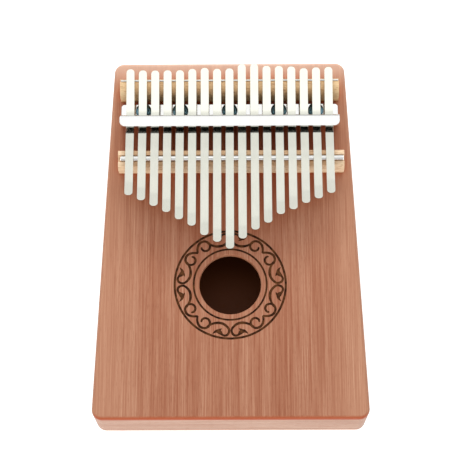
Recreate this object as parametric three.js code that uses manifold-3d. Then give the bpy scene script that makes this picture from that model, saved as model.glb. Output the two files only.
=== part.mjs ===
// A 17-tine box lamellophone (mbira, thumb piano): a hollow tapered wooden box with a sound hole, and on its
// soundboard a rear bridge, a slotted clamping bracket, a front bridge with a steel rod, and the spring tines.
//
// Millimetres, +Z up. The box lies on its back: Z = 0 is the outside of the back plate, and the soundboard faces up.
// +Y runs along the tines towards the narrow head end, +X is the player's right, and the origin is the centre of
// the back plate's underside.
//
// Each tine is one spring-steel strip. It is split at the bridge rod into a clamped tail and a free blade, because
// the blade bends about the rod when it is plucked.

import * as THREE from "three";
import { mergeVertices } from "three/addons/utils/BufferGeometryUtils.js";
import Module from "manifold-3d";

const wasm = await Module();
wasm.setup();

// ---- Driving dimensions ----

const BOX_LENGTH = 185;
const TAIL_WIDTH = 134;
const HEAD_WIDTH = 118;
const BOX_HEIGHT = 33;
const CORNER_RADIUS = 5;
const EDGE_ROUND = 2;
const PLATE_THICKNESS = 3;
const SIDE_THICKNESS = 5;
const END_THICKNESS = 7;

const SOUND_HOLE = { y: -25.8, radius: 15.15 };
const BACK_HOLE = { x: 22, y: 10, radius: 5 };

// Heights below are measured up from the soundboard, and places along Y from the centre of the box.
const PITCH = 6.25;
const TINE_WIDTH = 4.05;
const TIP_WIDTH = 4.05;
const TINE_THICKNESS = 1;
const END_RADIUS = 1.6;
const REAR_LINE = 84;

const STRIP = { y: 78.45, thickness: 0.8, length: 110, low: 7.4, high: 10.25 };
const BACKSTOP = { length: 110.8, front: 70.9, rear: 79.3, height: 9.9, toe: 4.5, crest: 76.8 };
const BRIDGE = { x: 0.7, length: 113, front: 32.2, ledge: 33.4, rear: 41.6, height: 8.6, ledgeHeight: 8 };
const ROD = { x: 1.1, y: 37.2, radius: 1.5, length: 111.5, height: 8, bevel: 0.5 };

const BRACKET = { length: 110, front: 52.6, web: 57.5, rear: 68.8, thickness: 1.5, top: 13.2 };
const SLOT = { width: 4.75, low: 7.4, high: 9.25 };
const SCREW = { y: 65.3, headRadius: 4, headHeight: 2.2, shankRadius: 1.5, length: 14, hole: 1.8 };
const SCREW_TINES = [2, 5, 9, 13, 16];
const BLOCK = { halfLength: 50, front: 57, rear: 73, depth: 12 };

// The centre line of a tine, from the strip down under the clamp and up again over the rod.
const TINE_AT_STRIP = { y: STRIP.y, height: 11.2, slope: 0.19 };
const TINE_AT_CLAMP = { y: 58.25, height: 8.4, slope: -0.05 };
const TINE_AT_ROD = { y: ROD.y, height: 10.3, slope: -0.03 };
const SPLIT = 38;
const SPLIT_GAP = 0.3;
const TIP_CURL = { length: 7.6, bend: 1.6, slope: 0.13 };

// The note of each tine, left to right, in semitones above the longest one. A plucked strip's length goes with the
// inverse square root of its frequency, so each tip lies EFFECTIVE_LENGTH / sqrt(2 ^ (note / 12)) from NODE_LINE.
const NOTES = [26, 23, 19, 16, 12, 9, 5, 2, 0, 4, 7, 11, 14, 17, 21, 24, 28];
const NODE_LINE = 40.75;
const EFFECTIVE_LENGTH = 52.1;
// How far each tip and each rear end stands from its nominal place once the tine is tuned, towards the head.
const TIP_TRIM = [0.5, 0, 0.3, -0.2, 0, 0, 0, 0.6, 0, -0.5, 0.2, -0.9, 0.4, 0, -0.2, -0.2, -0.2];
const REAR_TRIM = [-0.3, -0.9, -1, -0.9, -0.9, -0.3, 0.2, -0.3, -0.1, 2, 2.2, 1.1, 1, 0.7, -0.2, 0.2, 0.4];

// ---- Derived places ----

const HALF_LENGTH = BOX_LENGTH / 2;
const TAPER = Math.atan((TAIL_WIDTH - HEAD_WIDTH) / 2 / BOX_LENGTH);
const INNER_END = HALF_LENGTH - END_THICKNESS;
const RIM_HEIGHT = BOX_HEIGHT - 2 * PLATE_THICKNESS;
const QUARTER = Math.PI / 2;
const PAST = 1; // how far a cutting tool runs past the face that it cuts

const halfWidthAt = (y) => HEAD_WIDTH / 2 + (HALF_LENGTH - y) * Math.tan(TAPER);
const tineX = (number) => (number - (NOTES.length + 1) / 2) * PITCH;

// ---- Materials ----

const paint = (color, roughness, metalness) => new THREE.MeshStandardMaterial({ color, roughness, metalness });

const MATERIAL = {
  soundboard: paint(0xb07a60, 0.55, 0),
  body: paint(0xc39a88, 0.6, 0),
  block: paint(0xa98158, 0.75, 0),
  beech: paint(0xcda878, 0.6, 0),
  nickel: paint(0xeeeeea, 0.22, 1),
  rod: paint(0x9a9a98, 0.2, 1),
  tine: paint(0xe4e2d6, 0.28, 1),
  screw: paint(0x2c3a44, 0.35, 1),
};

// ---- Solids ----

function solidOf(geometry) {
  const bare = geometry.clone();
  bare.deleteAttribute("normal");
  bare.deleteAttribute("uv");
  const merged = mergeVertices(bare);
  const vertProperties = merged.attributes.position.array;
  const triVerts = new Uint32Array(merged.index.array);
  return new wasm.Manifold(new wasm.Mesh({ numProp: 3, vertProperties, triVerts }));
}

function geometryOf(solid) {
  const { vertProperties, triVerts } = solid.getMesh();
  const geometry = new THREE.BufferGeometry();
  geometry.setAttribute("position", new THREE.BufferAttribute(vertProperties, 3));
  geometry.setIndex(new THREE.BufferAttribute(triVerts, 1));
  geometry.computeVertexNormals();
  return geometry;
}

function block(low, high) {
  const size = new THREE.Vector3().subVectors(high, low);
  const centre = new THREE.Vector3().addVectors(low, high).multiplyScalar(0.5);
  return new THREE.BoxGeometry(size.x, size.y, size.z).translate(centre.x, centre.y, centre.z);
}

const at = (x, y, z) => new THREE.Vector3(x, y, z);

// A round drill along Z, from height low to height high.
function drill(x, y, radius, low, high, segments) {
  const bit = new THREE.CylinderGeometry(radius, radius, high - low, segments);
  return solidOf(bit.rotateX(QUARTER).translate(x, y, (low + high) / 2));
}

// A plan outline in X and Y, raised along Z.
function raise(outline, low, high, curveSegments = 8) {
  const options = { depth: high - low, bevelEnabled: false, curveSegments };
  return new THREE.ExtrudeGeometry(outline, options).translate(0, 0, low);
}

// A side profile drawn in Y and height, run across the box along X and centred on it.
const ACROSS = new THREE.Matrix4().makeBasis(at(0, 1, 0), at(0, 0, 1), at(1, 0, 0));

function across(profile, length, curveSegments = 8) {
  const options = { depth: length, bevelEnabled: false, curveSegments };
  return new THREE.ExtrudeGeometry(profile, options).applyMatrix4(ACROSS).translate(-length / 2, 0, 0);
}

function polygon(points) {
  return new THREE.Shape(points.map(([a, b]) => new THREE.Vector2(a, b)));
}

// ---- Box ----

function boxOutline() {
  const r = CORNER_RADIUS;
  const tailY = -HALF_LENGTH + r;
  const headY = HALF_LENGTH - r;
  const tailX = halfWidthAt(tailY) - r / Math.cos(TAPER);
  const headX = halfWidthAt(headY) - r / Math.cos(TAPER);
  const outline = new THREE.Shape();
  outline.absarc(tailX, tailY, r, -QUARTER, TAPER);
  outline.absarc(headX, headY, r, TAPER, QUARTER);
  outline.absarc(-headX, headY, r, QUARTER, Math.PI - TAPER);
  outline.absarc(-tailX, tailY, r, Math.PI - TAPER, 3 * QUARTER);
  outline.closePath();
  return outline;
}

// The whole outer form of the box, with its edges rounded all round.
function boxForm() {
  const options = {
    depth: BOX_HEIGHT - 2 * EDGE_ROUND,
    bevelThickness: EDGE_ROUND,
    bevelSize: EDGE_ROUND,
    bevelOffset: -EDGE_ROUND,
    bevelSegments: 3,
    curveSegments: 6,
  };
  return solidOf(new THREE.ExtrudeGeometry(boxOutline(), options).translate(0, 0, EDGE_ROUND));
}

function layer(low, high) {
  const reach = BOX_LENGTH;
  return solidOf(block(at(-reach, -reach, low), at(reach, reach, high)));
}

function soundboardGeometry() {
  const under = BOX_HEIGHT - PLATE_THICKNESS;
  let board = boxForm().intersect(layer(under, BOX_HEIGHT + PAST));
  const low = under - PAST;
  const high = BOX_HEIGHT + PAST;
  board = board.subtract(drill(0, SOUND_HOLE.y, SOUND_HOLE.radius, low, high, 48));
  for (const number of SCREW_TINES) {
    board = board.subtract(drill(tineX(number), SCREW.y, SCREW.hole, low, high, 12));
  }
  return geometryOf(board);
}

function backPlateGeometry() {
  let plate = boxForm().intersect(layer(-PAST, PLATE_THICKNESS));
  for (const x of [-BACK_HOLE.x, BACK_HOLE.x]) {
    plate = plate.subtract(drill(x, BACK_HOLE.y, BACK_HOLE.radius, -PAST, PLATE_THICKNESS + PAST, 32));
  }
  return geometryOf(plate);
}

function sideGeometry(side) {
  const inset = SIDE_THICKNESS / Math.cos(TAPER);
  const tail = halfWidthAt(-INNER_END);
  const head = halfWidthAt(INNER_END);
  const outline = polygon([
    [side * tail, -INNER_END],
    [side * head, INNER_END],
    [side * (head - inset), INNER_END],
    [side * (tail - inset), -INNER_END],
  ]);
  return raise(outline, PLATE_THICKNESS, PLATE_THICKNESS + RIM_HEIGHT);
}

function tailRailGeometry() {
  const r = CORNER_RADIUS;
  const cornerY = -HALF_LENGTH + r;
  const cornerX = halfWidthAt(cornerY) - r / Math.cos(TAPER);
  const inner = halfWidthAt(-INNER_END);
  const outline = new THREE.Shape();
  outline.moveTo(inner, -INNER_END);
  outline.lineTo(-inner, -INNER_END);
  outline.absarc(-cornerX, cornerY, r, Math.PI - TAPER, 3 * QUARTER);
  outline.absarc(cornerX, cornerY, r, -QUARTER, TAPER);
  outline.closePath();
  return raise(outline, PLATE_THICKNESS, PLATE_THICKNESS + RIM_HEIGHT, 6);
}

function headRailGeometry() {
  const r = CORNER_RADIUS;
  const cornerY = HALF_LENGTH - r;
  const cornerX = halfWidthAt(cornerY) - r / Math.cos(TAPER);
  const inner = halfWidthAt(INNER_END);
  const outline = new THREE.Shape();
  outline.moveTo(-inner, INNER_END);
  outline.lineTo(inner, INNER_END);
  outline.absarc(cornerX, cornerY, r, TAPER, QUARTER);
  outline.absarc(-cornerX, cornerY, r, QUARTER, Math.PI - TAPER);
  outline.closePath();
  return raise(outline, PLATE_THICKNESS, PLATE_THICKNESS + RIM_HEIGHT, 6);
}

// The beam glued under the soundboard that the bracket's screws bite into.
function anchorBlockGeometry() {
  const high = BOX_HEIGHT - PLATE_THICKNESS;
  const low = high - BLOCK.depth;
  const screwTip = BOX_HEIGHT + BRACKET.thickness - SCREW.length;
  let beam = solidOf(block(at(-BLOCK.halfLength, BLOCK.front, low), at(BLOCK.halfLength, BLOCK.rear, high)));
  for (const number of SCREW_TINES) {
    beam = beam.subtract(drill(tineX(number), SCREW.y, SCREW.hole, screwTip - PAST, high + PAST, 12));
  }
  return geometryOf(beam);
}

// ---- Bridges ----

// A wedge-topped beech bar, with a saw cut along its rear crest that holds the strip.
function backstopGeometry() {
  const cutFront = STRIP.y - STRIP.thickness / 2;
  const cutRear = STRIP.y + STRIP.thickness / 2;
  const profile = new THREE.Shape();
  profile.moveTo(BACKSTOP.front, 0);
  profile.lineTo(BACKSTOP.rear, 0);
  profile.lineTo(BACKSTOP.rear, BACKSTOP.height);
  profile.lineTo(cutRear, BACKSTOP.height);
  profile.lineTo(cutRear, STRIP.low);
  profile.lineTo(cutFront, STRIP.low);
  profile.lineTo(cutFront, BACKSTOP.height);
  profile.lineTo(BACKSTOP.crest, BACKSTOP.height);
  profile.quadraticCurveTo(BACKSTOP.front, BACKSTOP.height - 1, BACKSTOP.front, BACKSTOP.toe);
  profile.closePath();
  return across(profile, BACKSTOP.length, 6);
}

function stripGeometry() {
  const half = STRIP.length / 2;
  const front = STRIP.y - STRIP.thickness / 2;
  const rear = STRIP.y + STRIP.thickness / 2;
  return block(at(-half, front, STRIP.low), at(half, rear, STRIP.high));
}

// A beech bar with a half-round groove along its top that holds the rod.
function frontBridgeGeometry() {
  const groove = ROD.radius + 0.1;
  const profile = new THREE.Shape();
  profile.moveTo(BRIDGE.rear, 0);
  profile.lineTo(BRIDGE.rear - 0.4, BRIDGE.height);
  profile.lineTo(ROD.y + groove, BRIDGE.height);
  profile.lineTo(ROD.y + groove, ROD.height);
  profile.absarc(ROD.y, ROD.height, groove, 0, Math.PI, true);
  profile.lineTo(BRIDGE.ledge, BRIDGE.ledgeHeight - 0.6);
  profile.lineTo(BRIDGE.front, BRIDGE.ledgeHeight - 3);
  profile.lineTo(BRIDGE.front, 0);
  profile.closePath();
  return across(profile, BRIDGE.length, 12).translate(BRIDGE.x, 0, 0);
}

function rodGeometry() {
  const half = ROD.length / 2;
  const profile = [
    [0, -half],
    [ROD.radius - ROD.bevel, -half],
    [ROD.radius, -half + ROD.bevel],
    [ROD.radius, half - ROD.bevel],
    [ROD.radius - ROD.bevel, half],
    [0, half],
  ];
  const rod = new THREE.LatheGeometry(profile.map(([r, x]) => new THREE.Vector2(r, x)), 24);
  return rod.rotateZ(-QUARTER).translate(ROD.x, ROD.y, ROD.height);
}

// ---- Bracket and screws ----

// Its plan outline: rounded corners on the front lip and on the rear of the base flange.
function bracketPlan() {
  const half = BRACKET.length / 2;
  const lip = 2.8;
  const foot = 1.5;
  const plan = new THREE.Shape();
  plan.absarc(half - lip, BRACKET.front + lip, lip, -QUARTER, 0);
  plan.absarc(half - foot, BRACKET.rear - foot, foot, 0, QUARTER);
  plan.absarc(foot - half, BRACKET.rear - foot, foot, QUARTER, Math.PI);
  plan.absarc(lip - half, BRACKET.front + lip, lip, Math.PI, 3 * QUARTER);
  plan.closePath();
  return plan;
}

// A folded steel Z: base flange on the soundboard, upright web, and a top flange that reaches forward.
function bracketGeometry() {
  const t = BRACKET.thickness;
  const profile = polygon([
    [BRACKET.web, 0],
    [BRACKET.rear, 0],
    [BRACKET.rear, t],
    [BRACKET.web + t, t],
    [BRACKET.web + t, BRACKET.top],
    [BRACKET.front, BRACKET.top],
    [BRACKET.front, BRACKET.top - t],
    [BRACKET.web, BRACKET.top - t],
  ]);
  let bracket = solidOf(across(profile, BRACKET.length + 2 * PAST));
  bracket = bracket.intersect(solidOf(raise(bracketPlan(), -PAST, BRACKET.top + PAST, 5)));
  for (let number = 1; number <= NOTES.length; number += 1) {
    const left = tineX(number) - SLOT.width / 2;
    const low = at(left, BRACKET.web - PAST, SLOT.low);
    const high = at(left + SLOT.width, BRACKET.web + t + PAST, SLOT.high);
    bracket = bracket.subtract(solidOf(block(low, high)));
  }
  for (const number of SCREW_TINES) {
    bracket = bracket.subtract(drill(tineX(number), SCREW.y, SCREW.hole, -PAST, t + PAST, 12));
  }
  return geometryOf(bracket);
}

// A domed wood screw, head down on the base flange, with its point at the bottom.
function screwGeometry() {
  const seat = BRACKET.thickness;
  const dome = new THREE.Path();
  dome.absellipse(0, seat, SCREW.headRadius, SCREW.headHeight, 0, QUARTER, false);
  const profile = [
    new THREE.Vector2(0, seat - SCREW.length),
    new THREE.Vector2(SCREW.shankRadius, seat - SCREW.length + 3),
    new THREE.Vector2(SCREW.shankRadius, seat),
    ...dome.getPoints(2),
  ];
  profile[profile.length - 1].x = 0;
  return new THREE.LatheGeometry(profile, 14).rotateX(QUARTER).translate(0, SCREW.y, 0);
}

// ---- Tines ----

// A cubic from station a to station b, each with a height and a slope.
function blendHeight(a, b, y) {
  const run = b.y - a.y;
  const t = (y - a.y) / run;
  const s = 1 - t;
  const start = a.height * (1 + 2 * t) * s * s + a.slope * run * t * s * s;
  const finish = b.height * (3 - 2 * t) * t * t - b.slope * run * t * t * s;
  return start + finish;
}

function centreHeight(y, tip) {
  if (y > TINE_AT_STRIP.y) return TINE_AT_STRIP.height + TINE_AT_STRIP.slope * (y - TINE_AT_STRIP.y);
  if (y > TINE_AT_CLAMP.y) return blendHeight(TINE_AT_CLAMP, TINE_AT_STRIP, y);
  if (y > TINE_AT_ROD.y) return blendHeight(TINE_AT_ROD, TINE_AT_CLAMP, y);
  const straight = TINE_AT_ROD.height + TINE_AT_ROD.slope * (y - TINE_AT_ROD.y);
  const past = Math.max(0, tip + TIP_CURL.length - y);
  const bent = Math.min(past, TIP_CURL.bend);
  return straight + TIP_CURL.slope * ((bent * bent) / (2 * TIP_CURL.bend) + past - bent);
}

// The side view of a stretch of tine: its centre line thickened to both sides.
function tineProfile(stations, tip) {
  const half = TINE_THICKNESS / 2;
  const above = stations.map((y) => [y, centreHeight(y, tip) + half]);
  const below = stations.map((y) => [y, centreHeight(y, tip) - half]);
  return polygon([...below, ...above.reverse()]);
}

function spread(from, to, steps) {
  return Array.from({ length: steps + 1 }, (_, i) => from + ((to - from) * i) / steps);
}

function tinePiece(stations, tip, plan) {
  const strip = solidOf(across(tineProfile(stations, tip), 2 * PITCH));
  return geometryOf(strip.intersect(solidOf(raise(plan, 0, 2 * BRACKET.top, 4))));
}

// The clamped part, from the rod back over the strip to its rounded rear end.
function tailGeometry(rear, tip) {
  const half = TINE_WIDTH / 2;
  const front = SPLIT + SPLIT_GAP / 2;
  const plan = new THREE.Shape();
  plan.moveTo(-half, front);
  plan.lineTo(half, front);
  plan.absarc(half - END_RADIUS, rear - END_RADIUS, END_RADIUS, 0, QUARTER);
  plan.absarc(END_RADIUS - half, rear - END_RADIUS, END_RADIUS, QUARTER, Math.PI);
  plan.closePath();
  const stations = [...spread(front - PAST, TINE_AT_STRIP.y, 8), rear + PAST];
  return tinePiece(stations, tip, plan);
}

// The free part, from the rod forward to the rounded, slightly lifted tip that the thumb plucks.
function bladeGeometry(tip) {
  const half = TINE_WIDTH / 2;
  const tipHalf = TIP_WIDTH / 2;
  const rear = SPLIT - SPLIT_GAP / 2;
  const plan = new THREE.Shape();
  plan.moveTo(half, rear);
  plan.lineTo(-half, rear);
  plan.absarc(END_RADIUS - tipHalf, tip + END_RADIUS, END_RADIUS, Math.PI, 3 * QUARTER);
  plan.absarc(tipHalf - END_RADIUS, tip + END_RADIUS, END_RADIUS, -QUARTER, 0);
  plan.closePath();
  const crease = tip + TIP_CURL.length;
  const stations = [tip - PAST, ...spread(crease - TIP_CURL.bend, crease, 2), rear + PAST];
  return tinePiece(stations, tip, plan);
}

// ---- Assembly ----

const instrument = new THREE.Group();
instrument.name = "instrument";

const onSoundboard = new THREE.Group();
onSoundboard.position.z = BOX_HEIGHT;
instrument.add(onSoundboard);

function place(parent, name, geometry, material, x = 0) {
  const mesh = new THREE.Mesh(geometry, material);
  mesh.name = name;
  mesh.position.x = x;
  parent.add(mesh);
}

place(instrument, "soundboard", soundboardGeometry(), MATERIAL.soundboard);
place(instrument, "back_plate", backPlateGeometry(), MATERIAL.body);
place(instrument, "side_left", sideGeometry(-1), MATERIAL.body);
place(instrument, "side_right", sideGeometry(1), MATERIAL.body);
place(instrument, "head_rail", headRailGeometry(), MATERIAL.body);
place(instrument, "tail_rail", tailRailGeometry(), MATERIAL.body);
place(instrument, "anchor_block", anchorBlockGeometry(), MATERIAL.block);

place(onSoundboard, "backstop", backstopGeometry(), MATERIAL.beech);
place(onSoundboard, "backstop_strip", stripGeometry(), MATERIAL.rod);
place(onSoundboard, "tine_bracket", bracketGeometry(), MATERIAL.nickel);
place(onSoundboard, "front_bridge", frontBridgeGeometry(), MATERIAL.beech);
place(onSoundboard, "bridge_rod", rodGeometry(), MATERIAL.rod);

SCREW_TINES.forEach((number, index) => {
  place(onSoundboard, `bracket_screw_${index + 1}`, screwGeometry(), MATERIAL.screw, tineX(number));
});

NOTES.forEach((note, index) => {
  const tine = `tine_${String(index + 1).padStart(2, "0")}`;
  const tip = NODE_LINE - EFFECTIVE_LENGTH / Math.sqrt(2 ** (note / 12)) + TIP_TRIM[index];
  const rear = REAR_LINE + REAR_TRIM[index];
  const x = tineX(index + 1);
  place(onSoundboard, `${tine}_tail`, tailGeometry(rear, tip), MATERIAL.tine, x);
  place(onSoundboard, `${tine}_blade`, bladeGeometry(tip), MATERIAL.tine, x);
});

export default instrument;
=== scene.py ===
"""The looks of a box thumb piano (mbira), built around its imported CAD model.

Everything is in metres in the CAD's own frame: +Z out of the soundboard, +Y towards the narrow head end,
and Z = 0 on the outside of the back plate.
"""

import math

import bmesh
import bpy
import numpy as np
from mathutils import Matrix, Vector


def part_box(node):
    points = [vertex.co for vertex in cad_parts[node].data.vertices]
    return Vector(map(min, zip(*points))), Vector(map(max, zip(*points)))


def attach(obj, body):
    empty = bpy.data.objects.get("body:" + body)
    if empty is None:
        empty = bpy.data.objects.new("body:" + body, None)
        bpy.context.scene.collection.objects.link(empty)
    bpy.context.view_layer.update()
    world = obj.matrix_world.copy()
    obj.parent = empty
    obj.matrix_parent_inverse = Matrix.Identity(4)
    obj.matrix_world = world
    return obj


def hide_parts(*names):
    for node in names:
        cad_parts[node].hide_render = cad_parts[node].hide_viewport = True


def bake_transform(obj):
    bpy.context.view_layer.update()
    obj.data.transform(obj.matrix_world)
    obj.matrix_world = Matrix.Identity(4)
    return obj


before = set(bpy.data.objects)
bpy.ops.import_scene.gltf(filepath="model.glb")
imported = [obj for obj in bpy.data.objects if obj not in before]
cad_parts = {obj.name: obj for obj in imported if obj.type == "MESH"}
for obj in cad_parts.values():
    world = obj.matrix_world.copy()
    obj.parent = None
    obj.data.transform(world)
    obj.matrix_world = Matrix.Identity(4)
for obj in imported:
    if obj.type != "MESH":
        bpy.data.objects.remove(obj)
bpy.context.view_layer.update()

MM = 0.001

# ---- Sizes that the frame's boxes don't give ----

TAIL_WIDTH = 134 * MM
HEAD_WIDTH = 118 * MM
CORNER_RADIUS = 5 * MM
EDGE_ROUND = 2 * MM
BOX_EDGE = 0.12 * MM
BRIDGE_EDGE = 0.35 * MM

HOLE_CENTRE = Vector((0, -25.8 * MM))
HOLE_RADIUS = 15.15 * MM
HOLE_EDGE = 0.35 * MM

ENGRAVING_DEPTH = 0.25 * MM
STROKE_WEIGHT = 1.35  # how much wider the cut strokes are than their drawn half widths
RINGS = ((17.95 * MM, 0.95 * MM), (27.3 * MM, 1.1 * MM))  # radius and line width

TINE_COUNT = 17
TINE_WIDTH = 4.05 * MM
TINE_THICKNESS = 1 * MM
TINE_EDGE = 0.2 * MM
TIP_CORNER = 1.6 * MM
REAR_CORNER = 1.9 * MM
CREASED_TIP = 10 * MM  # how much of the tip is bent up, and straight
STATION = 0.8 * MM  # the step from one cross section of a tine to the next

BASE_FOLD = 1.2 * MM
TOP_FOLD = 1.6 * MM
BRACKET_EDGE = 0.18 * MM

ROD_EASE = 0.45 * MM

SCREW_COUNT = 5
SCREW_HEAD_RADIUS = 4 * MM
SCREW_HEAD_HEIGHT = 2.2 * MM
SCREW_RIM = 0.5 * MM  # the head's upright side, below its dome
SCREW_CHAMFER = 0.15 * MM
SCREW_CROWN = 0.3 * MM  # the radius of the small flat on top of the dome
SCREW_POINT = 3 * MM
SCREW_TIP_RADIUS = 0.2 * MM
SCREW_SHANK_RADIUS = 1.5 * MM
SCREW_HOLE_RADIUS = 1.8 * MM
CROSS_REACH = 4.4 * MM
CROSS_WIDTH = 0.9 * MM
CROSS_DEPTH = 1.1 * MM

HEAD_SHEEN_FROM = 78 * MM  # where on Y the painted sheen on the soundboard's head begins
TAIL_EDGE_FROM = -80 * MM  # below this on Y, faces that look to the tail show end grain
PALE_SIDES_FROM = 36 * MM  # how far from the centre line the soundboard starts to turn paler towards its long sides

FLOOR_REACH = 3
FLOOR_GAP = 0.2 * MM

CAMERA_ANGLES = (17.66, -0.40, -0.26)  # degrees: back from straight down, then turned, then rolled
CAMERA_DISTANCE = 746.5 * MM
CAMERA_AIM = (-2.5 * MM, 4.8 * MM)

TOLERANCE = 0.01 * MM
PAST = 1 * MM  # how far a cutting tool reaches past the face that it opens

BOARD_LOW, BOARD_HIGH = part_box("soundboard")
TOP = BOARD_HIGH.z


# ---- Materials ----


def srgb(red, green, blue):
    """A display colour, 0 to 255, as the linear colour that a shader takes."""

    def channel(value):
        value = value / 255
        if value <= 0.04045:
            return value / 12.92
        return ((value + 0.055) / 1.055) ** 2.4

    return (channel(red), channel(green), channel(blue), 1.0)


class Nodes:
    """A node tree that is built up node by node, each call returning the socket that the next one takes."""

    def __init__(self, tree):
        self.tree = tree

    def feed(self, socket, value):
        if isinstance(value, bpy.types.NodeSocket):
            self.tree.links.new(value, socket)
        else:
            socket.default_value = value

    def add(self, kind, inputs, output=0, **settings):
        node = self.tree.nodes.new("ShaderNode" + kind)
        for key, value in settings.items():
            setattr(node, key, value)
        for key, value in inputs.items():
            self.feed(node.inputs[key], value)
        return node.outputs[output]

    def part(self, vector, axis):
        """One of a vector's X, Y and Z."""
        return self.add("SeparateXYZ", {"Vector": vector}, output=axis)

    def step(self, factor, low, high, to_low=0.0, to_high=1.0):
        """A smooth change from to_low to to_high, as the factor goes from low to high."""
        inputs = {"Value": factor, "From Min": low, "From Max": high, "To Min": to_low, "To Max": to_high}
        return self.add("MapRange", inputs, interpolation_type="SMOOTHSTEP")

    def math(self, operation, *values):
        return self.add("Math", dict(enumerate(values)), operation=operation)


class Shader(Nodes):
    """A material's nodes."""

    def __init__(self, name):
        self.material = bpy.data.materials.new(name)
        self.material.use_nodes = True
        super().__init__(self.material.node_tree)
        self.surface = self.tree.nodes["Principled BSDF"]

    def place(self):
        return self.add("TexCoord", {}, output="Object")

    def facing(self, axis):
        """How far the surface faces along an axis, from -1 to 1."""
        return self.part(self.add("TexCoord", {}, output="Normal"), axis)

    def noise(self, vector, scale, detail=2.0, roughness=0.5):
        stretched = self.add("Mapping", {"Vector": vector, "Scale": scale})
        inputs = {"Vector": stretched, "Scale": 1.0, "Detail": detail, "Roughness": roughness}
        return self.add("TexNoise", inputs, output="Fac")

    def ramp(self, factor, stops):
        socket = self.add("ValToRGB", {"Fac": factor})
        elements = socket.node.color_ramp.elements
        while len(elements) < len(stops):
            elements.new(0.5)
        for element, (position, color) in zip(elements, stops):
            element.position = position
            element.color = color
        return socket

    def mix(self, factor, first, second, blend="MIX"):
        inputs = {0: factor, 6: first, 7: second}
        return self.add("Mix", inputs, output=2, data_type="RGBA", blend_type=blend)

    def paint_closed_in_shade(self, color, tint, reach):
        """The color with painted shade: darker and warmer where ambient occlusion finds the surface closed
        in, standing in for the shade and warm bounced light between wooden walls.
        """
        openness = self.add("AmbientOcclusion", {"Distance": reach}, output="AO", samples=6)
        closed_in = self.step(self.math("SUBTRACT", 1.0, openness), 0.15, 0.9)
        return self.mix(closed_in, color, self.mix(1.0, color, tint, "MULTIPLY"))

    def bump(self, height, strength, distance):
        return self.add("Bump", {"Height": height, "Strength": strength, "Distance": distance})

    def finish(self, **inputs):
        for key, value in inputs.items():
            self.feed(self.surface.inputs[key.replace("_", " ")], value)
        return self.material


def along(axis, across_scale, along_scale):
    """A texture scale that draws a pattern out along one axis."""
    scale = [across_scale] * 3
    scale["XYZ".index(axis)] = along_scale
    return scale


def wavy(shader, axis, reach):
    """Object coordinates, shifted a little sideways so that straight grain wanders."""
    place = shader.place()
    drift = shader.noise(place, along(axis, 22, 9), detail=1.0)
    shift = shader.math("MULTIPLY", shader.math("SUBTRACT", drift, 0.5), reach)
    offset = shader.add("CombineXYZ", {key: shift for key in "XYZ" if key != axis})
    return shader.add("VectorMath", {0: place, 1: offset}, operation="ADD")


def mahogany_grain(shader, tones, axis):
    """Straight grain along one axis: its color, and the fibres and pores that the color is made with."""
    dark, middle, light = tones
    place = wavy(shader, axis, 0.7 * MM)
    bands = shader.noise(place, along(axis, 150, 3), detail=5.0, roughness=0.62)
    fibres = shader.noise(place, along(axis, 2200, 26), detail=2.0, roughness=0.7)
    pores = shader.step(shader.noise(place, along(axis, 3600, 260), detail=1.0), 0.56, 0.72)
    color = shader.ramp(bands, ((0.25, dark), (0.5, middle), (0.75, light)))
    fibre_tone = shader.ramp(fibres, ((0.34, (0.78, 0.58, 0.46, 1)), (0.66, (1.2, 1.34, 1.36, 1))))
    color = shader.mix(0.9, color, fibre_tone, "MULTIPLY")
    color = shader.mix(shader.math("MULTIPLY", pores, 0.35), color, (0.2, 0.06, 0.03, 1))
    return color, fibres, pores


def mahogany_surface(shader, color, fibres, pores, specular=0.3):
    """A satin surface whose pores are sunk and dull."""
    relief = shader.math("SUBTRACT", fibres, shader.math("MULTIPLY", pores, 0.8))
    bump = shader.bump(relief, 0.22, 0.1 * MM)
    roughness = shader.math("ADD", 0.5, shader.math("MULTIPLY", pores, 0.2))
    return shader.finish(Base_Color=color, Roughness=roughness, Normal=bump, Specular_IOR_Level=specular)


def mahogany(name, tones, axis):
    shader = Shader(name)
    return mahogany_surface(shader, *mahogany_grain(shader, tones, axis))


def back_mahogany():
    """The back plate's wood, with painted shade: its face inside the box is given a dark colour for the
    shade in the hollow.
    """
    shader = Shader("back_mahogany")
    color, fibres, pores = mahogany_grain(shader, BODY_TONES, "Y")
    # Painted shade: the face that looks up, inside the box, takes a dark brown for the shade in the hollow.
    inside = shader.step(shader.facing("Z"), 0.3, 0.8)
    color = shader.mix(inside, color, srgb(94, 46, 16))
    return mahogany_surface(shader, color, fibres, pores, specular=0.12)


def soundboard_mahogany():
    """The soundboard's wood: painted sheen paler towards the head, paler towards both long sides, dark end
    grain at the tail, and painted shade where it is closed in.
    """
    shader = Shader("soundboard_mahogany")
    color, fibres, pores = mahogany_grain(shader, BOARD_TONES, "Y")
    lengthwise = shader.part(shader.place(), "Y")
    across = shader.math("ABSOLUTE", shader.part(shader.place(), "X"))
    # Painted sheen: the wood turns paler and greyer towards the head, for the light's sheen there.
    head = shader.step(lengthwise, HEAD_SHEEN_FROM, BOARD_HIGH.y)
    color = shader.mix(shader.math("MULTIPLY", head, 0.7), color, srgb(206, 176, 158))
    pale_sides = shader.step(across, PALE_SIDES_FROM, BOARD_HIGH.x)
    color = shader.mix(shader.math("MULTIPLY", pale_sides, 0.4), color, srgb(184, 138, 110))
    to_tail = shader.step(shader.math("MULTIPLY", shader.facing("Y"), -1), 0.1, 0.8)
    end_grain = shader.math("MULTIPLY", to_tail, shader.math("LESS_THAN", lengthwise, TAIL_EDGE_FROM))
    color = shader.mix(end_grain, color, srgb(144, 70, 40))
    # Painted shade: warmer and darker where the board is closed in, between and under the hardware.
    color = shader.paint_closed_in_shade(color, (1.05, 0.5, 0.24, 1), 20 * MM)
    return mahogany_surface(shader, color, fibres, pores, specular=0.25)


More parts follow.
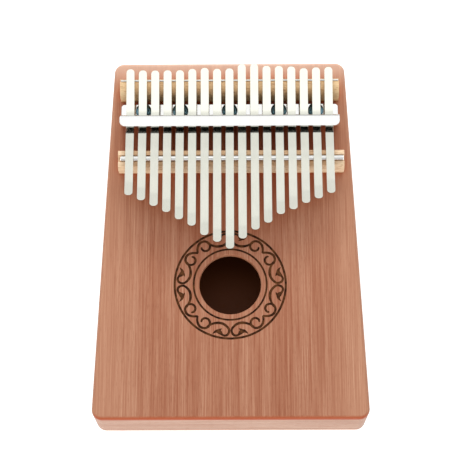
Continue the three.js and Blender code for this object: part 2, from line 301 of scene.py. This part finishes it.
def beech(name, tones, shade_reach):
    """Pale close-grained wood along X, with the short darker flecks that beech shows, and painted shade
    where it is closed in.
    """
    dark, light = tones
    shader = Shader(name)
    place = wavy(shader, "X", 1 * MM)
    bands = shader.noise(place, along("X", 240, 12), detail=3.0, roughness=0.6)
    fibres = shader.noise(place, along("X", 2200, 60), detail=2.0)
    flecks = shader.step(shader.noise(place, along("X", 1900, 420), detail=0.0), 0.62, 0.74)
    color = shader.ramp(bands, ((0.3, dark), (0.7, light)))
    fibre_tone = shader.ramp(fibres, ((0.3, (0.86, 0.83, 0.8, 1)), (0.7, (1.06, 1.06, 1.06, 1))))
    color = shader.mix(0.8, color, fibre_tone, "MULTIPLY")
    color = shader.mix(shader.math("MULTIPLY", flecks, 0.45), color, srgb(150, 100, 60))
    # Painted shade: warmer and darker where the wood is closed in, under the tines.
    color = shader.paint_closed_in_shade(color, (0.95, 0.68, 0.44, 1), shade_reach)
    bump = shader.bump(fibres, 0.2, 0.06 * MM)
    return shader.finish(Base_Color=color, Roughness=0.55, Normal=bump, Specular_IOR_Level=0.3)


def burnt_wood():
    """The charred floor of the laser-cut ornament."""
    shader = Shader("burnt_wood")
    patches = shader.noise(shader.place(), (420, 420, 420), detail=3.0)
    color = shader.ramp(patches, ((0.35, srgb(38, 20, 10)), (0.7, srgb(92, 56, 30))))
    return shader.finish(Base_Color=color, Roughness=0.85, Specular_IOR_Level=0.1)


def plated(name, tone, roughness, mottle):
    """Bright plated metal with faint cloudy patches and a very fine hammered surface."""
    shader = Shader(name)
    place = shader.place()
    clouds = shader.noise(place, (260, 120, 260), detail=4.0, roughness=0.6)
    scuffs = shader.noise(place, (1500, 300, 1500), detail=2.0)
    cloudy = (1 - mottle, 1 - mottle, 1 - mottle, 1)
    shade = shader.ramp(clouds, ((0.3, cloudy), (0.65, (1, 1, 1, 1))))
    color = shader.mix(1.0, tone, shade, "MULTIPLY")
    gloss = shader.math("MULTIPLY_ADD", scuffs, 0.12, roughness - 0.06)
    bump = shader.bump(scuffs, 0.12, 0.02 * MM)
    return shader.finish(Base_Color=color, Metallic=1.0, Roughness=gloss, Normal=bump)


# Dark, middle and light tones of each wood, and dark and light ones of the beech.
BOARD_TONES = (srgb(140, 84, 59), srgb(153, 102, 78), srgb(169, 123, 99))
BODY_TONES = (srgb(188, 140, 118), srgb(204, 164, 142), srgb(214, 178, 158))
RAIL_TONES = (srgb(144, 108, 89), srgb(156, 121, 103), srgb(168, 134, 117))
BLOCK_TONES = (srgb(150, 110, 76), srgb(170, 128, 92), srgb(186, 144, 106))
# The backstop and the front bridge are one beech in two copies: the backstop's darker and yellower for its
# painted shade, the front bridge's paler for its painted light.
REAR_BRIDGE_SHADED_TONES = (srgb(206, 172, 128), srgb(224, 196, 154))
FRONT_BRIDGE_LIT_TONES = (srgb(213, 184, 150), srgb(230, 206, 175))

MATERIAL = {
    "soundboard": soundboard_mahogany(),
    "body": mahogany("body_mahogany", BODY_TONES, "Y"),
    "back": back_mahogany(),
    "rail": mahogany("rail_mahogany", RAIL_TONES, "X"),
    "block": mahogany("block_wood", BLOCK_TONES, "X"),
    "beech_rear": beech("backstop_beech", REAR_BRIDGE_SHADED_TONES, 8 * MM),
    "beech_front": beech("bridge_beech", FRONT_BRIDGE_LIT_TONES, 6 * MM),
    "burnt": burnt_wood(),
    "nickel": plated("bracket_nickel", srgb(250, 250, 248), 0.12, mottle=0.03),
    "tine": plated("tine_nickel", srgb(226, 226, 214), 0.12, mottle=0.05),
    "rod": plated("rod_steel", srgb(235, 235, 232), 0.14, mottle=0.04),
    "strip": plated("strip_steel", srgb(245, 245, 242), 0.6, mottle=0.05),
    "screw": plated("screw_zinc", srgb(98, 130, 142), 0.2, mottle=0.25),
}


# ---- Mesh helpers ----


def new_object(name, bm, material=None):
    mesh = bpy.data.meshes.new(name)
    bmesh.ops.recalc_face_normals(bm, faces=bm.faces)
    bm.to_mesh(mesh)
    bm.free()
    obj = bpy.data.objects.new(name, mesh)
    bpy.context.scene.collection.objects.link(obj)
    if material:
        mesh.materials.append(material)
    return obj


def smooth(obj, degrees=35):
    """Smooth shading inside each face group, with flat faces kept flat up to their edges."""
    mesh = obj.data
    mesh.shade_smooth()
    mesh.set_sharp_from_angle(angle=math.radians(degrees))
    weighted = obj.modifiers.new("flat_faces", "WEIGHTED_NORMAL")
    weighted.keep_sharp = True
    return obj


def stack(rings):
    """A closed solid whose skin runs through rings of points, from the lowest ring to the highest."""
    bm = bmesh.new()
    layers = [[bm.verts.new(point) for point in ring] for ring in rings]
    count = len(layers[0])
    for lower, upper in zip(layers, layers[1:]):
        for i in range(count):
            j = (i + 1) % count
            bm.faces.new((lower[i], lower[j], upper[j], upper[i]))
    bm.faces.new(list(reversed(layers[0])))
    bm.faces.new(layers[-1])
    return bm


def circle(centre, radius, height, steps=64):
    turns = [2 * math.pi * i / steps for i in range(steps)]
    return [(centre[0] + radius * math.cos(t), centre[1] + radius * math.sin(t), height) for t in turns]


def evaluated_mesh(obj):
    graph = bpy.context.evaluated_depsgraph_get()
    return bpy.data.meshes.new_from_object(obj.evaluated_get(graph))


def cut(obj, tool):
    """Takes tool's solid away from obj, and deletes tool."""
    modifier = obj.modifiers.new("cut", "BOOLEAN")
    modifier.operation = "DIFFERENCE"
    modifier.solver = "MANIFOLD"
    modifier.object = tool
    old = obj.data
    obj.data = evaluated_mesh(obj)
    obj.modifiers.remove(modifier)
    bpy.data.meshes.remove(old)
    bpy.data.objects.remove(tool)


def cut_hole(obj, centre, radius, low, high, steps=24):
    rings = [circle(centre, radius, height, steps) for height in (low, high)]
    cut(obj, new_object("drill", stack(rings)))


def clean_copy(node):
    """A CAD node's solid with its vertices welded and its flat faces whole, as a bmesh."""
    bm = bmesh.new()
    bm.from_mesh(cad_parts[node].data)
    bmesh.ops.remove_doubles(bm, verts=bm.verts, dist=TOLERANCE / 10)
    bmesh.ops.dissolve_limit(bm, angle_limit=math.radians(0.5), verts=bm.verts, edges=bm.edges)
    return bm


def sharp_edges(bm, degrees=40):
    limit = math.radians(degrees)
    return [e for e in bm.edges if len(e.link_faces) == 2 and e.calc_face_angle(0) > limit]


def bevel(bm, edges, width, segments=2):
    bmesh.ops.bevel(
        bm, geom=edges, offset=width, segments=segments, profile=0.5, affect="EDGES", clamp_overlap=True
    )


def refine(node, material, edge):
    """A piece in a CAD node's place, with its sharp edges eased."""
    bm = clean_copy(node)
    bevel(bm, sharp_edges(bm), edge)
    piece = smooth(new_object(node + "_piece", bm, MATERIAL[material]))
    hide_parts(node)
    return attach(piece, "box")


def box_centre(node):
    low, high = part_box(node)
    return (low + high) / 2


# ---- Box ----


def box_outline(inset, height, steps=14):
    """The box's tapered outline with round corners, moved inwards by inset."""
    half = (BOARD_HIGH.y - BOARD_LOW.y) / 2
    taper = math.atan((TAIL_WIDTH - HEAD_WIDTH) / 4 / half)
    radius = CORNER_RADIUS - inset
    points = []

    def corner(side, y, start, end):
        x = side * (HEAD_WIDTH / 2 + (half - y) * math.tan(taper) - CORNER_RADIUS / math.cos(taper))
        for i in range(steps + 1):
            turn = start + (end - start) * i / steps
            points.append((x + radius * math.cos(turn), y + radius * math.sin(turn), height))

    quarter = math.pi / 2
    corner(1, CORNER_RADIUS - half, -quarter, taper)
    corner(1, half - CORNER_RADIUS, taper, quarter)
    corner(-1, half - CORNER_RADIUS, quarter, math.pi - taper)
    corner(-1, CORNER_RADIUS - half, math.pi - taper, 3 * quarter)
    return points


def edge_levels(low, high, radius, steps=8):
    """(height, inset) pairs up a straight wall and round its top edge."""
    turns = [math.pi / 2 * i / steps for i in range(steps + 1)]
    rounded = [(high - radius * (1 - math.sin(t)), radius * (1 - math.cos(t))) for t in turns]
    return [(low, 0)] + rounded


def hole_cutter():
    """The sound hole's tool, which flares at the top so that it leaves a rounded edge."""
    steps = 4
    levels = [(BOARD_LOW.z - PAST, HOLE_RADIUS)]
    for i in range(steps + 1):
        turn = math.pi / 2 * i / steps
        radius = HOLE_RADIUS + HOLE_EDGE * (1 - math.cos(turn))
        levels.append((TOP - HOLE_EDGE * (1 - math.sin(turn)), radius))
    levels.append((TOP + PAST, HOLE_RADIUS + HOLE_EDGE))
    return new_object("hole_tool", stack([circle(HOLE_CENTRE, r, z, 96) for z, r in levels]))


# The ornament between the rings repeats eight times: mirrored on both axes and both diagonals. One eighth is
# drawn beside an axis. Each stroke is a list of points with the line's half width there, all in millimetres.
# Points are polar, (degrees from the axis, radius, half width), about the sound hole's centre.

CURL_CENTRE = (32.6, 23.0)
# These points are about the curl's own centre: in from the cusp, round the curl, and to its open end.
CURL = (
    (132, 4.95, 0.40),
    (110, 4.0, 0.42),
    (92, 3.55, 0.44),
    (70, 3.25, 0.46),
    (40, 2.95, 0.46),
    (0, 2.7, 0.44),
    (-45, 2.55, 0.42),
    (-90, 2.45, 0.42),
    (-135, 2.4, 0.42),
    (-180, 2.3, 0.42),
    (-222, 2.1, 0.40),
    (-254, 1.85, 0.34),
)
BRANCH = (
    (28.0, 24.2, 0.36),
    (26.2, 23.0, 0.40),
    (24.0, 21.9, 0.42),
    (21.0, 21.0, 0.46),
    (16.5, 20.3, 0.50),
    (10.6, 20.2, 0.48),
    (5.4, 21.1, 0.44),
    (1.9, 22.6, 0.42),
    (1.7, 24.2, 0.42),
    (3.4, 25.5, 0.44),
    (6.2, 26.0, 0.42),
    (9.2, 25.6, 0.42),
    (12.0, 24.7, 0.80),
    (14.6, 24.4, 0.72),
    (17.0, 24.9, 0.46),
    (19.2, 26.3, 0.10),
)
THORN = (
    (13.8, 24.3, 0.55),
    (12.9, 23.5, 0.42),
    (10.6, 22.8, 0.14),
)


def polar(degrees, radius):
    return Vector((radius * math.cos(math.radians(degrees)), radius * math.sin(math.radians(degrees))))


def smooth_path(points, steps=5):
    """A Catmull-Rom curve through the points, each a Vector of any size."""
    path = []
    padded = [2 * points[0] - points[1], *points, 2 * points[-1] - points[-2]]
    for a, b, c, d in zip(padded, padded[1:], padded[2:], padded[3:]):
        linear = c - a
        square = 2 * a - 5 * b + 4 * c - d
        cubic = 3 * b - a - 3 * c + d
        for i in range(steps):
            t = i / steps
            path.append(0.5 * (2 * b + linear * t + square * t * t + cubic * t**3))
    path.append(points[-1])
    return path


def stroke_outline(stroke):
    """The closed outline of a line that follows a path of (x, y, half width)."""
    path = smooth_path([Vector(p) for p in stroke])
    left, right = [], []
    for i, point in enumerate(path):
        ahead = path[min(i + 1, len(path) - 1)] - path[max(i - 1, 0)]
        side = Vector((-ahead.y, ahead.x)).normalized() * point.z * STROKE_WEIGHT
        left.append(point.xy + side)
        right.append(point.xy - side)
    nose = path[-1].xy + (path[-1] - path[-2]).xy.normalized() * path[-1].z
    heel = path[0].xy - (path[1] - path[0]).xy.normalized() * path[0].z
    return [*right, nose, *reversed(left), heel]


def ornament_strokes():
    """One eighth of the ornament, in millimetres from the hole's centre, with the axis along +X."""
    centre = polar(*CURL_CENTRE)
    curl = [(*(centre + polar(a, r)), w) for a, r, w in CURL]
    branch = [(*polar(a, r), w) for a, r, w in BRANCH]
    thorn = [(*polar(a, r), w) for a, r, w in THORN]
    return curl, branch, thorn


def engrave(board):
    """Cuts the two rings and the ornament between them into the board."""
    low = TOP - ENGRAVING_DEPTH
    high = TOP + PAST
    for radius, width in RINGS:
        outer = circle(HOLE_CENTRE, radius + width / 2, low, 144)
        inner = circle(HOLE_CENTRE, radius - width / 2, low, 144)
        cut(board, new_object("ring_tool", tube(outer, inner, high)))
    for stroke in ornament_strokes():
        outline = stroke_outline(stroke)
        for mirror in (1, -1):
            cut(board, new_object("stroke_tool", quarter_copies(outline, mirror, low, high)))


def tube(outer, inner, high):
    """A ring-shaped solid between two outlines that stand at the same height."""
    bm = bmesh.new()
    loops = [[bm.verts.new(p) for p in points] for points in (outer, inner)]
    raised = [[bm.verts.new((p[0], p[1], high)) for p in points] for points in (outer, inner)]
    count = len(outer)
    for i in range(count):
        j = (i + 1) % count
        bm.faces.new((loops[0][i], loops[0][j], raised[0][j], raised[0][i]))
        bm.faces.new((loops[1][j], loops[1][i], raised[1][i], raised[1][j]))
        bm.faces.new((raised[0][i], raised[0][j], raised[1][j], raised[1][i]))
        bm.faces.new((loops[0][j], loops[0][i], loops[1][i], loops[1][j]))
    return bm


def quarter_copies(outline, mirror, low, high):
    """The outline raised into a solid, four times round the hole, mirrored or not."""
    bm = bmesh.new()
    for quarter in range(4):
        turn = Matrix.Rotation(quarter * math.pi / 2, 2)
        points = [HOLE_CENTRE + turn @ Vector((p.x, mirror * p.y)) * MM for p in outline]
        bottom = [bm.verts.new((*p, low)) for p in points]
        top = [bm.verts.new((*p, high)) for p in points]
        for i in range(len(points)):
            j = (i + 1) % len(points)
            bm.faces.new((bottom[i], bottom[j], top[j], top[i]))
        bm.faces.new(list(reversed(bottom)))
        bm.faces.new(top)
    return bm


def burn(board):
    """Chars the floor of the engraving: the sunk faces between the hole's edge and the outer ring."""
    inner = HOLE_RADIUS + 2 * HOLE_EDGE
    outer = RINGS[1][0] + 2 * MM
    floor_height = TOP - ENGRAVING_DEPTH
    board.data.materials.append(MATERIAL["burnt"])
    for face in board.data.polygons:
        from_centre = (face.center.xy - HOLE_CENTRE).length
        sunk = floor_height - TOLERANCE < face.center.z < TOP - TOLERANCE
        charred = inner < from_centre < outer and sunk
        face.material_index = int(charred)


def soundboard():
    """The top plate: rounded edge, sound hole, screw holes and the engraved ornament."""
    levels = edge_levels(BOARD_LOW.z, TOP, EDGE_ROUND)
    board = new_object("engraved_soundboard", stack([box_outline(inset, z) for z, inset in levels]))
    cut(board, hole_cutter())
    for number in range(1, SCREW_COUNT + 1):
        centre = box_centre(f"bracket_screw_{number}")
        cut_hole(board, centre, SCREW_HOLE_RADIUS, BOARD_LOW.z - PAST, TOP + PAST)
    engrave(board)
    board.data.materials.clear()
    board.data.materials.append(MATERIAL["soundboard"])
    burn(board)
    smooth(board)
    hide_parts("soundboard")
    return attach(board, "box")


# ---- Hardware ----


def rod():
    """The polished steel rod, with coned ends."""
    low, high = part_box("bridge_rod")
    radius = (high.z - low.z) / 2
    centre = (low + high) / 2
    stations = (
        (low.x, radius - ROD_EASE),
        (low.x + ROD_EASE, radius),
        (high.x - ROD_EASE, radius),
        (high.x, radius - ROD_EASE),
    )
    rings = []
    for x, r in stations:
        rings.append([(x, centre.y + y, centre.z + z) for y, z, _ in circle((0, 0), r, 0, 48)])
    piece = smooth(new_object("steel_rod", stack(rings), MATERIAL["rod"]))
    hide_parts("bridge_rod")
    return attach(piece, "box")


def bracket():
    """The folded bracket, with rounded bends and eased edges."""
    bm = clean_copy("tine_bracket")
    low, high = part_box("tine_bracket")
    length = high.x - low.x
    free_edge = 3 * MM  # keeps the bends apart from each flange's free edge

    def fold_edges(height, y_from, y_to):
        """The edges that run the bracket's length at one height, between two places on Y."""
        chosen = []
        for e in bm.edges:
            first, last = (v.co for v in e.verts)
            middle = (first + last) / 2
            lengthwise = abs(first.x - last.x) > 0.8 * length
            if lengthwise and abs(middle.z - height) < TOLERANCE and y_from < middle.y < y_to:
                chosen.append(e)
        return chosen

    bevel(bm, fold_edges(high.z, low.y + free_edge, high.y), TOP_FOLD, 5)
    bevel(bm, fold_edges(low.z, low.y, high.y - free_edge), BASE_FOLD, 4)
    bevel(bm, sharp_edges(bm), BRACKET_EDGE)
    piece = smooth(new_object("folded_bracket", bm, MATERIAL["nickel"]))
    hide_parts("tine_bracket")
    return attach(piece, "box")


def cross_tools(centre, top):
    """The two tapered bars of a cross, for a screwdriver recess."""
    tools = []
    for along_x, along_y in ((CROSS_REACH, CROSS_WIDTH), (CROSS_WIDTH, CROSS_REACH)):
        bm = bmesh.new()
        bmesh.ops.create_cube(bm, size=1)
        for v in bm.verts:
            taper = 0.45 if v.co.z < 0 else 1
            v.co.x = centre.x + v.co.x * along_x * taper
            v.co.y = centre.y + v.co.y * along_y * taper
            v.co.z = top + v.co.z * 2 * CROSS_DEPTH
        tools.append(new_object("cross_tool", bm))
    return tools


def screw(number):
    """A domed cross-head screw."""
    node = f"bracket_screw_{number}"
    low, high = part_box(node)
    centre = (low + high) / 2
    seat = high.z - SCREW_HEAD_HEIGHT
    shoulder = seat + SCREW_RIM
    levels = [
        (low.z, SCREW_TIP_RADIUS),
        (low.z + SCREW_POINT, SCREW_SHANK_RADIUS),
        (seat, SCREW_SHANK_RADIUS),
        (seat, SCREW_HEAD_RADIUS - SCREW_CHAMFER),
        (seat + SCREW_CHAMFER, SCREW_HEAD_RADIUS),
        (shoulder, SCREW_HEAD_RADIUS),
    ]
    steps = 9
    for i in range(1, steps):
        turn = math.pi / 2 * i / steps
        levels.append((shoulder + (high.z - shoulder) * math.sin(turn), SCREW_HEAD_RADIUS * math.cos(turn)))
    levels.append((high.z, SCREW_CROWN))
    piece = new_object(f"domed_screw_{number}", stack([circle(centre, r, z, 40) for z, r in levels]))
    for tool in cross_tools(centre, high.z):
        cut(piece, tool)
    piece.data.materials.clear()
    piece.data.materials.append(MATERIAL["screw"])
    smooth(piece)
    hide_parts(node)
    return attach(piece, "box")


# ---- Tines ----


def tine_crest(nodes):
    """Places and heights along the top of a tine, from tip to rear, with its creased tip kept straight."""
    crest = {}
    for node in nodes:
        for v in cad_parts[node].data.vertices:
            y = round(v.co.y, 5)
            crest[y] = max(crest.get(y, 0), v.co.z)
    ys = np.array(sorted(crest))
    heights = np.array([crest[y] for y in sorted(crest)])
    tip = np.arange(ys[0], ys[0] + CREASED_TIP, STATION)
    places = np.concatenate((tip, ys[ys > tip[-1] + STATION]))
    return places, np.interp(places, ys, heights)


def curve_through(xs, ys, x):
    """A smooth curve through the points (xs, ys), at the places x."""
    slopes = np.gradient(ys, xs)
    i = np.clip(np.searchsorted(xs, x) - 1, 0, len(xs) - 2)
    run = xs[i + 1] - xs[i]
    t = (x - xs[i]) / run
    start = (1 + 2 * t) * (1 - t) ** 2 * ys[i] + t * (1 - t) ** 2 * run * slopes[i]
    end = t * t * (3 - 2 * t) * ys[i + 1] + t * t * (t - 1) * run * slopes[i + 1]
    return start + end


def tine_stations(tip, rear):
    """Places along a tine: close together round its ends, and a station apart between them."""
    turns = [math.pi / 2 * i / 6 for i in range(7)]
    nose = [tip + TIP_CORNER * (1 - math.cos(t)) for t in turns]
    tail = [rear - REAR_CORNER * (1 - math.cos(t)) for t in reversed(turns)]
    middle = np.linspace(nose[-1], tail[0], 2 + int((tail[0] - nose[-1]) / STATION))
    return np.array([*nose, *middle[1:-1], *tail])


def half_width(y, tip, rear):
    """Half the width of a tine at y, which narrows round the corners of its two ends."""
    half = TINE_WIDTH / 2
    inside, corner = min((y - tip, TIP_CORNER), (rear - y, REAR_CORNER))
    if inside >= corner:
        return half
    return half - corner + math.sqrt(max(corner**2 - (corner - inside) ** 2, 0))


def tine(number):
    """One continuous spring-steel strip, which bends smoothly in front of the rod."""
    name = f"tine_{number:02d}"
    nodes = (name + "_tail", name + "_blade")
    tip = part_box(nodes[1])[0].y
    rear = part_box(nodes[0])[1].y
    x = box_centre(nodes[0]).x
    stations = tine_stations(tip, rear)
    heights = curve_through(*tine_crest(nodes), stations)
    rings = []
    for y, z in zip(stations, heights):
        half = half_width(y, tip, rear)
        low = z - TINE_THICKNESS
        rings.append([(x - half, y, low), (x + half, y, low), (x + half, y, z), (x - half, y, z)])
    bm = stack(rings)
    bmesh.ops.recalc_face_normals(bm, faces=bm.faces)  # sharp_edges compares the faces' normals
    bevel(bm, sharp_edges(bm, 50), TINE_EDGE)
    piece = smooth(new_object(name + "_strip", bm, MATERIAL["tine"]), 50)
    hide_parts(*nodes)
    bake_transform(piece)
    return piece


# ---- Stage ----


def floor():
    """A pale floor just below the box, which shines a little so that it stays white."""
    bm = bmesh.new()
    bmesh.ops.create_grid(bm, x_segments=1, y_segments=1, size=FLOOR_REACH)
    shader = Shader("floor_white")
    material = shader.finish(
        Base_Color=(0.5, 0.5, 0.5, 1),
        Roughness=0.9,
        Specular_IOR_Level=0.0,
        Emission_Color=(1, 1, 1, 1),
        Emission_Strength=0.75,
    )
    ground = new_object("floor", bm, material)
    ground.location.z = -FLOOR_GAP


def studio_world():
    """A soft dome, white to the camera.

    The surfaces see it bright from overhead to behind the object, and in a low ring all round. Its high
    front is dim, and dark in reflections of reflections.
    """
    world = bpy.data.worlds.new("studio")
    bpy.context.scene.world = world
    world.use_nodes = True
    sky = Nodes(world.node_tree)
    direction = sky.add("TexCoord", {}, output="Generated")
    upwards = sky.part(direction, "Z")
    backwards = sky.part(direction, "Y")
    behind = sky.step(backwards, -0.22, -0.08)
    low_ring = sky.step(upwards, 0.45, 0.62, 0.8, 0.0)
    early = sky.math("LESS_THAN", sky.add("LightPath", {}, output="Ray Depth"), 2.5)
    front = sky.math("MULTIPLY", early, 0.4)
    dome = sky.math("MAXIMUM", sky.math("MAXIMUM", behind, low_ring), front)
    above_floor = sky.step(upwards, 0.02, 0.4)
    past_overhead = sky.step(backwards, 0.25, 0.33, 1.0, 0.73)
    far_behind = sky.step(backwards, 0.4, 0.55, 1.0, 0.9)
    for shade in (above_floor, past_overhead, far_behind):
        dome = sky.math("MULTIPLY", dome, shade)
    light = sky.math("MULTIPLY_ADD", dome, 1.42, 0.03)
    to_camera = sky.add("LightPath", {}, output="Is Camera Ray")
    to_surfaces = sky.math("SUBTRACT", 1.0, to_camera)
    background = sky.tree.nodes["Background"]
    sky.feed(background.inputs["Strength"], sky.math("MULTIPLY_ADD", to_surfaces, light, to_camera))
    sky.feed(background.inputs["Color"], (1, 1, 1, 1))


def area_light(name, place, target, size, power):
    """A broad soft light that the metal doesn't mirror."""
    light = bpy.data.lights.new(name, "AREA")
    light.shape = "RECTANGLE"
    light.size, light.size_y = size
    light.energy = power
    obj = bpy.data.objects.new(name, light)
    obj.location = place
    obj.rotation_euler = (Vector(target) - Vector(place)).to_track_quat("-Z", "Y").to_euler()
    obj.visible_glossy = False
    bpy.context.scene.collection.objects.link(obj)


def camera():
    """Looks down on the soundboard from the tail end, nearly square to it."""
    tilt, yaw, roll = (math.radians(angle) for angle in CAMERA_ANGLES)
    target = Vector((*CAMERA_AIM, TOP))
    forward = Vector((math.sin(yaw), math.sin(tilt) * math.cos(yaw), -math.cos(tilt) * math.cos(yaw)))
    right = forward.cross(Vector((0, math.cos(tilt), math.sin(tilt)))).normalized()
    up = right.cross(forward)
    x_axis = right * math.cos(roll) + up * math.sin(roll)
    y_axis = up * math.cos(roll) - right * math.sin(roll)
    data = bpy.data.cameras.new("camera")
    data.lens = 120
    data.sensor_width = 36
    data.clip_start = 10 * MM
    obj = bpy.data.objects.new("camera", data)
    turned = Matrix((x_axis, y_axis, -forward)).transposed().to_4x4()
    obj.matrix_world = Matrix.Translation(target - forward * CAMERA_DISTANCE) @ turned
    bpy.context.scene.collection.objects.link(obj)
    bpy.context.scene.camera = obj


# ---- Assembly ----

soundboard()
for node, material, edge, slot in (
    ("back_plate", "back", BOX_EDGE, "body_wood"),
    ("side_left", "body", BOX_EDGE, "body_wood"),
    ("side_right", "body", BOX_EDGE, "body_wood"),
    ("head_rail", "rail", BOX_EDGE, "body_wood"),
    ("tail_rail", "rail", BOX_EDGE, "body_wood"),
    ("anchor_block", "block", BOX_EDGE, "block_wood"),
    ("backstop", "beech_rear", BRIDGE_EDGE, "bridge_wood"),
    ("front_bridge", "beech_front", BRIDGE_EDGE, "bridge_wood"),
    ("backstop_strip", "strip", BOX_EDGE, "strip_steel"),
):
    refine(node, material, edge)
rod()
bracket()
for number in range(1, SCREW_COUNT + 1):
    screw(number)
for number in range(1, TINE_COUNT + 1):
    tine(number)

floor()
studio_world()
area_light("rear_key", place=(0, 0.42, 0.25), target=(0, 0.02, 0.03), size=(0.6, 0.12), power=2.1)
area_light("front_fill", place=(-0.1, -0.7, 0.22), target=(0, -0.05, 0.02), size=(1.0, 0.3), power=5.0)
camera()
bpy.context.scene.view_settings.view_transform = "Standard"
